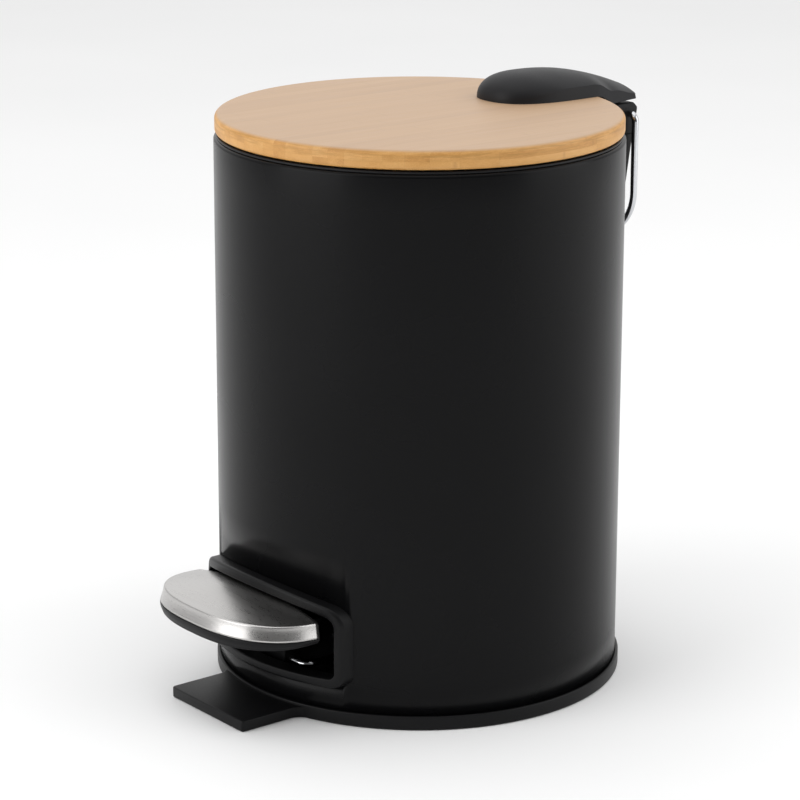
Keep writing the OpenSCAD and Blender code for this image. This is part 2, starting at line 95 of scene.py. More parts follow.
def rounded(corners_2d, radii, closed=True, sagitta=0.02):
    """A polygon whose corners are replaced by arcs that touch both sides of each corner. The arcs
    have so many points that their chords stay within the sagitta of the true circle."""
    pts = np.asarray(corners_2d, float)
    radii = np.broadcast_to(radii, len(pts))
    out = []
    for k, (p, r) in enumerate(zip(pts, radii)):
        if r <= 0 or (not closed and k in (0, len(pts) - 1)):
            out.append(p[None])
            continue
        u, v = pts[k - 1] - p, pts[(k + 1) % len(pts)] - p
        u, v = u / np.linalg.norm(u), v / np.linalg.norm(v)
        half = math.acos(np.clip(u @ v, -1, 1)) / 2
        centre = p + (u + v) / np.linalg.norm(u + v) * r / math.sin(half)
        first = (p + u * r / math.tan(half) - centre) / r
        last = (p + v * r / math.tan(half) - centre) / r
        turn = math.pi - 2 * half
        count = max(3, math.ceil(turn / (2 * math.acos(max(0.9, 1 - sagitta / r)))) + 1)
        t = np.linspace(0, 1, count)[:, None]
        arc = (np.sin((1 - t) * turn) * first + np.sin(t * turn) * last) / math.sin(turn)
        out.append(centre + r * arc)
    return np.concatenate(out)


def outline_normals(outline, closed=True):
    """Mitred normals of an anticlockwise outline: moving each point along its own by a distance
    moves every side outwards by that distance."""
    sides = np.roll(outline, -1, 0) - outline
    if not closed:
        sides[-1] = sides[-2]
    square = np.stack([sides[:, 1], -sides[:, 0]], 1)
    square /= np.linalg.norm(square, axis=1, keepdims=True)
    before = np.roll(square, 1, 0)
    if not closed:
        before[0] = square[0]
    return (square + before) / (1 + (square * before).sum(1, keepdims=True))


def slab(outline, low, high, rim, axis="z", steps=5):
    """A flat outline given a thickness from low to high along an axis. Both rims are quarter
    circles: the outline shrinks by rim (1 - sin a) as the height moves by rim (1 - cos a)."""
    a = np.linspace(0, math.pi / 2, steps)
    inset = np.concatenate([rim * (1 - np.sin(a)), rim * (1 - np.sin(a[::-1]))])
    height = np.concatenate([low + rim * (1 - np.cos(a)), high - rim * (1 - np.cos(a[::-1]))])
    flat = outline[None] - inset[:, None, None] * outline_normals(outline)[None]
    tall = np.broadcast_to(height[:, None], flat.shape[:2])
    order = {"z": (flat[..., 0], flat[..., 1], tall), "x": (tall, flat[..., 0], flat[..., 1]),
             "y": (flat[..., 0], tall, flat[..., 1])}[axis]
    points = np.stack(order, -1).reshape(-1, 3)
    rows, cols = flat.shape[:2]
    ends = [list(range(cols))[::-1], list(range((rows - 1) * cols, rows * cols))]
    faces = grid_faces(rows, cols, wrap_cols=True) + ends
    return points, outward(points, faces)


def turned(profile, steps=192, joined=True):
    """A profile of radius and height turned once round the Z axis. It is a closed loop when
    joined, or it starts and ends on the axis, where a single point closes it."""
    profile = np.asarray(profile, float)
    a = np.linspace(0, 2 * math.pi, steps, endpoint=False)
    on_axis = profile[:, 0] <= 1e-6
    rings, poles = profile[~on_axis], profile[on_axis]
    points = np.stack([rings[:, :1] * np.cos(a), rings[:, :1] * np.sin(a),
                       np.broadcast_to(rings[:, 1:], (len(rings), steps))], -1).reshape(-1, 3)
    faces = grid_faces(len(rings), steps, wrap_rows=joined and not len(poles), wrap_cols=True)
    if len(poles):
        first, last, bottom = len(points), len(points) + 1, (len(rings) - 1) * steps
        points = np.concatenate([points, [[0, 0, z] for z in poles[[0, -1], 1]]])
        faces += [[first, (k + 1) % steps, k] for k in range(steps)]
        faces += [[last, bottom + k, bottom + (k + 1) % steps] for k in range(steps)]
    return points, outward(points, faces)


def wire(path, radius, normal, sides=24, closed=False):
    """A round wire along a path that lies in one plane: circles of the wire's radius, spanned by
    the plane's normal and by the direction square to both the normal and the path."""
    path, normal = np.asarray(path, float), np.asarray(normal, float)
    if closed:
        along = np.roll(path, -1, 0) - np.roll(path, 1, 0)
    else:
        along = np.gradient(path, axis=0)
    along /= np.linalg.norm(along, axis=1, keepdims=True)
    side = np.cross(along, normal)
    a = np.linspace(0, 2 * math.pi, sides, endpoint=False)[None, :, None]
    points = (path[:, None] + radius * (np.cos(a) * side[:, None] + np.sin(a) * normal)).reshape(-1, 3)
    faces = grid_faces(len(path), sides, wrap_rows=closed, wrap_cols=True)
    if not closed:
        last = (len(path) - 1) * sides
        faces += [list(range(sides)), list(range(last, last + sides))[::-1]]
    return points, outward(points, faces)


def mesh_piece(name, shape, finish, body, stands_for=(), crease=38):
    """Makes one piece of a shape in millimetres, smooth but for edges sharper than crease degrees."""
    points, faces = shape
    mesh = bpy.data.meshes.new(name)
    mesh.from_pydata((np.asarray(points) / 1000).tolist(), [], faces)
    mesh.shade_smooth()
    mesh.set_sharp_from_angle(angle=math.radians(crease))
    mesh.materials.append(finish)
    piece = bpy.data.objects.new(name, mesh)
    bpy.context.scene.collection.objects.link(piece)
    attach(piece, body)
    if stands_for:
        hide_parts(*stands_for)
    return piece


def sheet_metal(piece, thickness):
    """Gives an open surface its wall, on the side away from its normals, in millimetres."""
    wall = piece.modifiers.new("wall", "SOLIDIFY")
    wall.thickness = thickness / 1000
    wall.offset = -1
    wall.use_even_offset = True
    return piece


# ---------------------------------------------------------------- finishes


class Finish:
    """A node material: each method adds one node and returns the socket that it gives."""

    def __init__(self, name):
        self.material = bpy.data.materials.new(name)
        self.material.use_nodes = True
        self.tree = self.material.node_tree
        self.shader = self.tree.nodes["Principled BSDF"]
        self.place = self.tree.nodes.new("ShaderNodeTexCoord").outputs["Object"]

    def add(self, kind, inputs, output=0, **settings):
        """One node with its settings, its inputs joined to sockets or set to values."""
        node = self.tree.nodes.new("ShaderNode" + kind)
        for key, value in settings.items():
            setattr(node, key, value)
        for key, value in inputs.items():
            if isinstance(value, bpy.types.NodeSocket):
                self.tree.links.new(value, node.inputs[key])
            else:
                node.inputs[key].default_value = value
        return node.outputs[output]

    def stretch(self, scale, turn=(0, 0, 0)):
        """Object coordinates scaled along each axis, so that a pattern is drawn out along one."""
        return self.add("Mapping", {"Vector": self.place, "Scale": scale, "Rotation": turn})

    def noise(self, scale, detail=3, vector=None, rough=0.5):
        """Fractal noise, about 0 to 1."""
        return self.add("TexNoise", {"Vector": vector or self.place, "Scale": scale, "Detail": detail,
                                     "Roughness": rough}, output="Fac")

    def range(self, value, low, high, to_low=0.0, to_high=1.0):
        """A value moved from one range to another and kept inside it."""
        return self.add("MapRange", {"Value": value, "From Min": low, "From Max": high,
                                     "To Min": to_low, "To Max": to_high})

    def sum(self, a, b, operation="ADD"):
        """Two values added, or joined by another operation. One with a single input ignores b."""
        return self.add("Math", {0: a, 1: b}, operation=operation)

    def off_middle(self, value):
        """Distance of a value from the middle of its whole step, 0 to 0.5."""
        return self.sum(self.sum(self.sum(value, 0.0, "FRACT"), 0.5, "SUBTRACT"), 0.0, "ABSOLUTE")

    def ramp(self, value, stops):
        """A colour for each stop of a value, blended between them."""
        node = self.tree.nodes.new("ShaderNodeValToRGB")
        self.tree.links.new(value, node.inputs[0])
        elements = node.color_ramp.elements
        while len(elements) < len(stops):
            elements.new(0.5)
        for element, (at, colour) in zip(elements, stops):
            element.position = at
            element.color = (*colour, 1)
        return node.outputs[0]

    def mix(self, share, a, b, blend="MIX"):
        """Two colours mixed by a share."""
        node = self.tree.nodes.new("ShaderNodeMix")
        node.data_type = "RGBA"
        node.blend_type = blend
        for socket, value in ((node.inputs[0], share), (node.inputs[6], a), (node.inputs[7], b)):
            if isinstance(value, bpy.types.NodeSocket):
                self.tree.links.new(value, socket)
            elif isinstance(value, tuple):
                socket.default_value = (*value, 1)
            else:
                socket.default_value = value
        return node.outputs[2]

    def bump(self, height, depth, under=None):
        """Surface relief: height is a value from 0 to 1, and depth is in metres."""
        inputs = {"Height": height, "Distance": depth, "Strength": 1.0}
        if under is not None:
            inputs["Normal"] = under
        return self.add("Bump", inputs)

    def set(self, **values):
        """Sets or joins the shader's own sockets, whose names have their spaces as underscores."""
        for key, value in values.items():
            socket = self.shader.inputs[key.replace("_", " ")]
            if isinstance(value, bpy.types.NodeSocket):
                self.tree.links.new(value, socket)
            elif isinstance(value, tuple):
                socket.default_value = (*value, 1)
            else:
                socket.default_value = value
        return self.material


def powder_coat():
    """Satin black coat on the steel can: a soft orange peel, with a faint cloudiness of its gloss."""
    f = Finish("satin black powder coat")
    peel = f.noise(620, 2)
    cloud = f.noise(14, 3)
    tone = f.ramp(cloud, [(0.3, (0.0026, 0.0026, 0.0029)), (0.7, (0.0036, 0.0036, 0.0040))])
    return f.set(Base_Color=tone, Roughness=f.range(cloud, 0.3, 0.7, 0.24, 0.29), IOR=1.21,
                 Normal=f.bump(peel, 0.000010))


def moulded(name, tone, roughness, grain=0.00002, scale=1500):
    """Moulded plastic: fine spark-eroded grain in the gloss and the surface, tone a little uneven."""
    f = Finish(name)
    pits = f.noise(scale, 3, rough=0.7)
    patch = f.noise(22, 4)
    low = tuple(0.86 * t for t in tone)
    high = tuple(1.14 * t for t in tone)
    colour = f.ramp(patch, [(0.32, low), (0.68, high)])
    gloss = f.sum(f.range(patch, 0.3, 0.7, roughness - 0.03, roughness + 0.03),
                  f.range(pits, 0.3, 0.7, -0.05, 0.05))
    return f.set(Base_Color=colour, Roughness=gloss, IOR=1.26, Normal=f.bump(pits, grain))


def brushed_steel(name="brushed stainless steel", tone=(0.50, 0.49, 0.48), along=(30, 2600, 2600)):
    """Brushed sheet: long hair lines drawn out along X, in the gloss, the tone and the surface."""
    f = Finish(name)
    hair = f.noise(1, 4, f.stretch(along), 0.65)
    broad = f.noise(1, 2, f.stretch(tuple(s / 9 for s in along)), 0.5)
    both = f.sum(f.sum(hair, 0.7, "MULTIPLY"), f.sum(broad, 0.3, "MULTIPLY"))
    colour = f.ramp(both, [(0.3, tuple(0.93 * t for t in tone)), (0.7, tuple(1.05 * t for t in tone))])
    return f.set(Base_Color=colour, Metallic=1.0, Roughness=f.range(both, 0.3, 0.7, 0.25, 0.33),
                 Normal=f.bump(both, 0.0000018))


def plated(name, tone, roughness, mottle=0.04):
    """Plated or bright metal: nearly even, with faint draw marks and small changes of gloss."""
    f = Finish(name)
    marks = f.noise(260, 4, rough=0.6)
    spots = f.noise(40, 3)
    colour = f.ramp(spots, [(0.3, tuple(0.92 * t for t in tone)), (0.7, tone)])
    return f.set(Base_Color=colour, Metallic=1.0,
                 Roughness=f.range(marks, 0.3, 0.7, roughness, roughness + mottle),
                 Normal=f.bump(marks, 0.000006))


def rubber():
    """Soft matte rubber with a dusty bloom in its hollows."""
    f = Finish("soft rubber")
    bloom = f.noise(300, 4)
    colour = f.ramp(bloom, [(0.35, (0.035, 0.035, 0.036)), (0.75, (0.085, 0.083, 0.08))])
    return f.set(Base_Color=colour, Roughness=f.range(bloom, 0.3, 0.7, 0.7, 0.9),
                 Normal=f.bump(bloom, 0.00003))


def bamboo(strip=0.0062, layer=0.0026):
    """Laminated bamboo whose fibres run along Y: strips side by side in X and layers in Z, each
    with its own tone, fine fibres, darker knuckles across a strip and streaks round the rim."""
    f = Finish("oiled bamboo")
    x, y, z = f.add("SeparateXYZ", {"Vector": f.place}).node.outputs
    lane = f.sum(f.sum(x, strip, "DIVIDE"), 0.0, "FLOOR")
    level = f.sum(f.sum(z, layer, "DIVIDE"), 0.0, "FLOOR")
    own = f.add("CombineXYZ", {"X": lane, "Y": level, "Z": 0.5})
    tone = f.add("TexWhiteNoise", {"Vector": own}, output="Value")
    shifted = f.add("CombineXYZ", {"X": x, "Y": f.sum(y, f.sum(tone, 0.3, "MULTIPLY")), "Z": z})
    fibre = f.noise(1.0, 4, f.add("Mapping", {"Vector": shifted, "Scale": (2600, 36, 2600)}), 0.6)
    flow = f.noise(1.0, 3, f.add("Mapping", {"Vector": shifted, "Scale": (190, 13, 190)}))
    blend = f.sum(f.sum(f.sum(fibre, 0.42, "MULTIPLY"), f.sum(flow, 0.38, "MULTIPLY")),
                  f.sum(tone, 0.20, "MULTIPLY"))
    wood = f.ramp(blend, [(0.28, (0.45, 0.205, 0.050)), (0.46, (0.58, 0.295, 0.082)),
                          (0.58, (0.63, 0.335, 0.105)), (0.76, (0.70, 0.41, 0.155))])
    # Knuckles: short dark bands that cross a strip at its own places, 11 to the metre
    own_y = f.sum(y, f.sum(tone, 0.7, "MULTIPLY"))
    knot = f.range(f.off_middle(f.sum(own_y, 11.0, "MULTIPLY")), 0.0, 0.012, 0.32, 0.0)
    wood = f.mix(knot, wood, (0.36, 0.17, 0.05))
    # Streaks that run round the rim's upper half, where the rounded edge cuts through the layers
    along_rim = f.sum(f.sum(y, x, "ARCTAN2"), 0.084, "MULTIPLY")
    round_rim = f.add("CombineXYZ", {"X": f.sum(along_rim, 70.0, "MULTIPLY"),
                                     "Y": f.sum(z, 900.0, "MULTIPLY"), "Z": 0.0})
    streak = f.noise(1.0, 5, round_rim, 0.62)
    off_axis = f.add("VectorMath", {0: f.add("CombineXYZ", {"X": x, "Y": y, "Z": 0.0})},
                     output="Value", operation="LENGTH")
    at_rim = f.range(off_axis, LID_R / 1000 - 0.0016, LID_R / 1000 - 0.0002)
    high_up = f.range(z, (LID_Z + 2.6) / 1000, (LID_Z + 5.2) / 1000)
    dark = f.sum(f.sum(at_rim, high_up, "MULTIPLY"), f.range(streak, 0.44, 0.60), "MULTIPLY")
    wood = f.mix(f.sum(dark, 0.62, "MULTIPLY"), wood, (0.40, 0.20, 0.045))
    # Painted sheen: the top face is mixed towards a paler, greyer tone than the warmer edge, a painted
    # highlight of the light that the upward face catches
    top = f.range(z, LID_TOP / 1000 - 0.0008, LID_TOP / 1000 - 0.0001)
    wood = f.mix(f.sum(top, 0.72, "MULTIPLY"), wood, (0.47, 0.345, 0.25))
    # Fine dark joints between the strips
    seam = f.range(f.off_middle(f.sum(x, strip, "DIVIDE")), 0.485, 0.5, 0.0, 0.16)
    wood = f.mix(seam, wood, (0.34, 0.19, 0.07))
    return f.set(Base_Color=wood, Roughness=f.range(fibre, 0.3, 0.7, 0.40, 0.54), IOR=1.45,
                 Normal=f.bump(fibre, 0.00002))


LID_LOW, LID_HIGH = corners("lid_disc")
LID_R, LID_Z, LID_TOP = LID_HIGH[0], LID_LOW[2], LID_HIGH[2]

COAT = powder_coat()
BLACK = moulded("moulded black plastic", (0.0052, 0.0052, 0.0057), 0.40)
COVER_BLACK = moulded("matte black cover plastic", (0.016, 0.016, 0.0175), 0.46, 0.000012, 2200)
BUCKET_BLACK = moulded("bucket polypropylene", (0.010, 0.010, 0.011), 0.36)
BRACKET = moulded("glass filled plastic", (0.030, 0.030, 0.032), 0.55, 0.00005)
DARK_PLASTIC = moulded("damper plastic", (0.040, 0.040, 0.044), 0.45)
NATURAL = moulded("unpigmented plastic", (0.66, 0.65, 0.60), 0.40)
STEEL = brushed_steel()
CHROME = plated("bright plated wire", (0.60, 0.61, 0.63), 0.12)
ZINC = plated("zinc plated sheet", (0.50, 0.51, 0.53), 0.30, 0.12)
SCREW = plated("bright zinc screws", (0.60, 0.61, 0.62), 0.24, 0.10)
SPRING = plated("blackened spring steel", (0.16, 0.16, 0.17), 0.30, 0.10)
RUBBER = rubber()
WOOD = bamboo()


# ---------------------------------------------------------------- can and base

# Radius of the arched head of the pedal window and its frame
ARCH_R = 161.0


def can_wall():
    """The can's outer sheet as a grid of angle and height: straight up, then 235 degrees of a
    circle of the bead's radius that rolls in at the rim. Cells inside the pedal window are left
    out, and the rows near its head droop as x^2 / (2 R), so that the window is arched."""
    low, high = corners("body_shell")
    radius, bead = high[0], 1.5
    half, sill, head = 44.2, 19.0, 53.7
    # Heights between which the rows droop, and how far the head drops more at its two corners
    level_below, level_above, corner_drop = 27, 75, 4.5
    heights = np.concatenate([[low[2], sill, level_below, 35, 44, head],
                              np.linspace(level_above, high[2] - bead, 12)])
    a = np.radians(np.linspace(0, 235, 15))[1:]
    rim_r = radius - bead + bead * np.cos(a)
    rim_z = high[2] - bead + bead * np.sin(a)
    radii = np.concatenate([np.full(len(heights), radius), rim_r])
    rows = np.concatenate([heights, rim_z])
    side = math.degrees(math.asin(half / radius))
    window = np.linspace(-90 - side, -90 + side, 61)
    rest = np.linspace(-90 + side, 270 - side, 177)[1:-1]
    turn = np.radians(np.concatenate([window, rest]))
    across = np.minimum(np.abs(radius * np.cos(turn)), half)
    across[len(window):] = half
    droop = across ** 2 / (2 * ARCH_R) + corner_drop * smooth(0.84 * half, half, across)
    share = np.interp(rows, [level_below, head, level_above], [0, 1, 0])
    tall = rows[:, None] - share[:, None] * droop
    points = np.stack([radii[:, None] * np.cos(turn), radii[:, None] * np.sin(turn), tall], -1)
    points = points.reshape(-1, 3)
    faces = np.array(grid_faces(len(rows), len(turn), wrap_cols=True))
    faces = faces.reshape(len(rows) - 1, len(turn), 4)
    kept = np.ones(faces.shape[:2], bool)
    kept[np.ix_((rows[:-1] >= sill) & (rows[:-1] < head), np.arange(len(window) - 1))] = False
    faces = faces[kept]
    used = np.unique(faces)
    place = np.zeros(len(points), int)
    place[used] = np.arange(len(used))
    return points[used], outward(points[used], place[faces].tolist())


def base_ring():
    """The plastic base's foot: a closed profile with rounded outer corners, turned."""
    low, high = corners("plastic_base")
    radius, height = high[0], high[2]
    wall_r, floor = 85.3, 2.2
    outside = rounded([(0, 0), (radius, 0), (radius, height), (wall_r, height)],
                      [0, 0.6, 0.45, 0.15], closed=False)
    return turned(np.concatenate([outside, [(wall_r, floor), (0, floor)]]))


def toe_plate():
    """Toe plate: a rectangle that runs into the round foot through a concave fillet on each side."""
    low, high = corners("plastic_base")
    foot, reach = high[0], -low[1]
    half, thick, fillet, corner, sunk = 25.2, 4.6, 6.0, 1.4, 0.2
    centre_x = half + fillet
    centre_y = -math.sqrt((foot - sunk + fillet) ** 2 - centre_x ** 2)
    meet = math.atan2(-centre_y, -centre_x)
    bow = np.linspace(math.pi, meet, 14)
    arc = np.stack([centre_x + fillet * np.cos(bow), centre_y + fillet * np.sin(bow)], 1)
    nose = rounded([(-half, -60), (-half, -reach), (half, -reach), (half, -60)], [0, corner, corner, 0])
    right = np.concatenate([nose[len(nose) // 2:-1], arc, [(12, -70)]])
    left = right[::-1] * (-1, 1)
    return slab(np.concatenate([left[:-1], right[:-1]]), 0, thick, 0.55)


# ---------------------------------------------------------------- pedal window


def bezel_ring():
    """Window frame: two arched outlines, inner and outer, are blended across the frame's width
    while the depth follows its cross-section, and every point is laid on a cylinder of that depth:
    y = -sqrt(depth^2 - x^2)."""
    low, high = corners("pedal_bezel")
    depth = -low[1]
    wall = corners("body_shell")[1][0]
    side, below, above = 3.4, 4.0, 4.3
    outer = arched_outline(high[0], low[2], high[2], 9, 5)
    inner = arched_outline(high[0] - side, low[2] + below, high[2] - above, 5, 2.5)
    # Rounds of the front face's outer and inner edges, and the depth of the frame's inner end
    edge, lip, sleeve = 1.3, 0.7, wall - 1.8
    a = np.linspace(0, math.pi / 2, 7)
    # Cross-section: share of the way from the inner to the outer outline, millimetres added, depth
    section = [(0, 0, sleeve), (0, 0, depth - lip - 1.2)]
    section += [(0, lip * (1 - math.cos(t)), depth - lip + lip * math.sin(t)) for t in a]
    section += [(1, -edge * (1 - math.sin(t)), depth - edge + edge * math.cos(t)) for t in a]
    section += [(1, 0, wall + 0.03), (1, -1.5, wall + 0.02), (0, 0.6, sleeve)]
    rows = []
    across = (outer - inner) / np.linalg.norm(outer - inner, axis=1, keepdims=True)
    for share, add, r in section:
        flat = inner + share * (outer - inner) + add * across
        rows.append(np.stack([flat[:, 0], -np.sqrt(r * r - flat[:, 0] ** 2), flat[:, 1]], 1))
    points = np.array(rows)
    faces = grid_faces(*points.shape[:2], wrap_rows=True, wrap_cols=True)
    points = points.reshape(-1, 3)
    return points, outward(points, faces)


def arched_outline(half, low, high, head_corner, sill_corner):
    """An outline with a flat sill, upright sides and an arched head: its corners are arcs that
    touch both neighbours. Each part has the same count of points whatever the outline's size."""
    head_x, sill_x = half - head_corner, half - sill_corner
    centre = high - ARCH_R
    head_z = centre + math.sqrt((ARCH_R - head_corner) ** 2 - head_x ** 2)
    slope = math.atan2(head_z - centre, head_x)
    corner = np.linspace(-math.pi / 2, 0, 10)
    lower = np.stack([sill_x + sill_corner * np.cos(corner),
                      low + sill_corner * (1 + np.sin(corner))], 1)
    side = np.linspace(low + sill_corner, head_z, 12)[1:-1]
    side = np.stack([np.full(len(side), half), side], 1)
    bend = np.linspace(0, slope, 12)
    upper = np.stack([head_x + head_corner * np.cos(bend), head_z + head_corner * np.sin(bend)], 1)
    arch = np.linspace(slope, math.pi / 2, 30)[1:]
    arch = np.stack([ARCH_R * np.cos(arch), centre + ARCH_R * np.sin(arch)], 1)
    right = np.concatenate([lower, side, upper, arch])
    sill = np.stack([np.linspace(-sill_x, sill_x, 50)[1:-1], np.full(48, low)], 1)
    return np.concatenate([sill, right[:-1], right[::-1] * (-1, 1)])


# ---------------------------------------------------------------- pedal

PEDAL_A, PEDAL_B, PEDAL_POWER = 42.0, 31.0, 2.58
PEDAL_Y, PEDAL_Z, PEDAL_TILT = -86.0, 46.2, math.radians(3.6)


def on_pedal(points):
    """Points of the pedal's own frame, whose zero is the cap's crease at the back, in the can's."""
    points = np.asarray(points, float).reshape(-1, 3)
    c, s = math.cos(PEDAL_TILT), math.sin(PEDAL_TILT)
    y, z = points[:, 1], points[:, 2]
    return np.stack([points[:, 0], PEDAL_Y + y * c + z * s, PEDAL_Z - y * s + z * c], 1)


def half_oval(a, b, back=1.0, steps=97):
    """Half a superellipse, from the right end round the nose to the left end: x = a cos^(2/n) and
    y = -b sin^(2/n), moved back so that its straight side lies inside the window."""
    t = np.linspace(0, math.pi, steps)
    t = t - 0.07 * np.sin(4 * t)
    c, s = np.cos(t), np.maximum(np.sin(t), 0)
    p = 2 / PEDAL_POWER
    return np.stack([a * np.sign(c) * np.abs(c) ** p, back - (b + back) * s ** p], 1)


def pedal_grid(rows):
    """Rows of the half oval, each given as its scale, the distance it is moved along its normals
    and its height, which may differ from point to point. The first row's scale is 0: one point."""
    oval = half_oval(PEDAL_A, PEDAL_B)
    normal = outline_normals(oval[::-1], closed=False)[::-1]
    normal[[0, -1], 1] = 0
    return np.array([np.column_stack([scale * (oval - (0, 1)) + (0, 1) + move * normal,
                                      np.broadcast_to(height, len(oval))])
                     for scale, move, height in rows])


def pedal_cap():
    """Steel cap: height A (1 - s s) over the crease at a share s of the way from the middle of the
    back to the outline, a small round at the crease, and a skirt that flares out downwards."""
    arch, skirt, flare, bend = 4.2, 6.3, 1.3, 0.9
    rows = [(s, -bend * s, arch * (1 - s * s)) for s in np.linspace(0.0, 1, 22)]
    rows += [(1, -bend + bend * math.sin(a), -bend * (1 - math.cos(a)))
             for a in np.radians([18, 36, 54, 72, 86])]
    rows += [(1, flare * t ** 1.3, -bend - (skirt - bend) * t) for t in np.linspace(0.1, 1, 8)]
    return open_fan(pedal_grid(rows))


def open_fan(grid):
    """An open surface from a grid whose first row is one point."""
    rows, cols = grid.shape[:2]
    points = np.concatenate([[grid[0, 0]], grid[1:].reshape(-1, 3)])
    faces = [[0, 1 + k, 2 + k] for k in range(cols - 1)]
    faces += [[k + 1 for k in f] for f in grid_faces(rows - 1, cols)]
    return on_pedal(points), faces


def pedal_tray():
    """Plastic tray under the cap: flat on top, a wall that is deepest at the nose and tucks in
    downwards, and an underside that is lowest in the middle: its height goes with the square of
    the share s of the way out to the wall. A flat face closes the back."""
    t = np.linspace(0, math.pi, 97)
    tall = 2.2 + 2.4 * np.sin(t) ** 0.8
    top, lowest, proud = -6.55, -11.2, 1.35
    # Rounds of the wall's upper and lower edges, and how far the wall tucks in
    upper, lower, tuck = 0.5, 0.8, 0.9
    rows = [(s, proud * s, top) for s in np.linspace(0, 1, 4)[:-1]]
    rows += [(1, proud - upper * (1 - math.sin(a)), top - upper * (1 - math.cos(a)))
             for a in np.linspace(0, math.pi / 2, 5)]
    rows += [(1, proud - tuck * u ** 2, top - upper - (tall - upper - lower) * u)
             for u in np.linspace(0, 1, 6)[1:]]
    rows += [(1, proud - tuck - lower * (1 - math.cos(a)), top - tall + lower * (1 - math.sin(a)))
             for a in np.linspace(0, math.pi / 2, 6)[1:]]
    rows += [(s, (proud - tuck - lower) * s, lowest + s ** 2 * (top - tall - lowest))
             for s in np.linspace(1, 0, 12)[1:]]
    rows[0] = (0, 0, top)
    grid = pedal_grid(rows)
    grid[-1] = grid[-1].mean(0)
    count, cols = grid.shape[:2]
    inner = grid[1:-1]
    points = np.concatenate([inner.reshape(-1, 3), [grid[0, 0], grid[-1, 0]]])
    first, last, bottom = len(points) - 2, len(points) - 1, (count - 3) * cols
    faces = grid_faces(count - 2, cols)
    faces += [[first, k + 1, k] for k in range(cols - 1)]
    faces += [[last, bottom + k, bottom + k + 1] for k in range(cols - 1)]
    down = [k * cols for k in range(count - 2)]
    up = [k * cols + cols - 1 for k in range(count - 2)][::-1]
    faces.append([first] + down + [last] + up)
    return on_pedal(points), outward(points, faces)


def tray_neck():
    """Neck of the tray: it goes back through the window and down to the lever's front wire."""
    side = rounded([(-86, 36), (-79.4, 35), (-80, 24), (-80, 16.4), (-72, 16.4), (-72, 24),
                    (-76, 35.5), (-81, 39)], [0.5, 1.5, 3, 1.2, 1.2, 3, 3, 0.5])
    return slab(side, -12, 12, 0.6, axis="x")


def lever_wire():
    """Lever: a closed loop of wire with rounded corners, flat in the plane over its pivot tube."""
    low, high = corners("pedal_lever")
    r, x = 2.0, 22
    front, rear = low[1] + r, high[1] - r
    loop = rounded([(-x, front), (x, front), (x, rear), (-x, rear)], 5)
    path = np.column_stack([loop, np.full(len(loop), high[2] - r)])
    tube = slab(circle(4.0, (-12, 14)), -30, 30, 0.3, axis="x")
    return together(wire(path, r, (0, 0, 1), closed=True), tube)


def circle(radius, centre=(0, 0), steps=48):
    """Points round a circle, anticlockwise."""
    a = np.linspace(0, 2 * math.pi, steps, endpoint=False)
    return np.stack([centre[0] + radius * np.cos(a), centre[1] + radius * np.sin(a)], 1)


# ---------------------------------------------------------------- hinge and handles

HINGE_Y, HINGE_Z = 102.7, 228.0
# Height of the lugs that the bucket's handle swings in
BAIL_Z = 221.0


def housing():
    """Hinge housing: its side view given a width, in one block below and two ears above."""
    half = corners("hinge_housing")[1][0]
    low, split, top, inner, front = 167.0, 220.5, 232.8, 9.6, 82
    back = [(89, low), (95, 174), (98.2, 182), (100.4, 191), (102, 200), (104.1, 213)]
    block = rounded([(front, low)] + back + [(105.4, split), (front, split)],
                    [0, 2, 12, 30, 30, 30, 30, 0.6, 0])
    ear = rounded([(front, split - 2), (105.2, split - 2), (107.2, 229.6), (107.2, 230.6), (105, top),
                   (front, top)], [0, 0, 1, 1, 2, 0.4])
    return together(slab(block, -half, half, 1.0, axis="x"),
                    slab(ear, inner, half, 0.7, axis="x"), slab(ear, -half, -inner, 0.7, axis="x"))


def bail_wire():
    """Carrying handle: a U of wire in an upright plane through the hinge axis, its ends turned in."""
    r, x, bend, drop, end = 1.5, 19.5, 3, 33.5, 13.3
    flat = rounded([(end, 0), (x, 0), (x, -drop - x), (-x, -drop - x), (-x, 0), (-end, 0)],
                   [0, bend, x, x, bend, 0], closed=False)
    path = np.column_stack([flat[:, 0], np.full(len(flat), HINGE_Y), HINGE_Z + flat[:, 1]])
    return wire(path, r, (0, 1, 0))


def bucket_bail():
    """Bucket's handle: a wide semicircle of wire hung from the two lugs."""
    r, x, bend, end = 1.25, 68.0, 2.5, 73.5
    flat = rounded([(end, 0), (x, 0), (x, -bend - x), (-x, -bend - x), (-x, 0), (-end, 0)],
                   [0, bend, x, x, bend, 0], closed=False)
    path = np.column_stack([flat[:, 0], np.zeros(len(flat)), BAIL_Z + flat[:, 1]])
    return wire(path, r, (0, 1, 0))


COVER_FRONT, COVER_BACK = 36.55, 107.0


def cover_half(y):
    """Half width of the cover: a blunt superelliptic nose, then a slow taper to the back."""
    nose = np.maximum(0, (70 - y) / (70 - COVER_FRONT + 0.05))
    width = 20.4 * np.maximum(0, 1 - nose ** 2.5) ** (1 / 2.5) - 4.4 * smooth(80, 112, y)
    end = np.clip((y - (COVER_BACK - 2.2)) / 2.2, 0, 1)
    return width - 2.2 * (1 - np.sqrt(1 - end ** 2))


def cover_crown(y):
    """Height of the cover's ridge: it rises steeply at the nose and falls away to the back."""
    nose = np.clip((57 - y) / (57 - COVER_FRONT + 0.05), 0, 1)
    fall = 0.0042 * np.maximum(0, y - 58) ** 2
    rise = LID_TOP + 11.1 * np.maximum(0, 1 - nose ** 2.4) ** (1 / 2.4) - fall
    end = np.clip((y - (COVER_BACK - 1.6)) / 1.6, 0, 1)
    return rise - 1.6 * (1 - np.sqrt(1 - end ** 2))


def cover_low(y):
    """Lower edge: on the lid's top, then down over its rim towards the hinge."""
    return LID_TOP + 0.05 - 4.15 * smooth(80.5, 91.5, y)


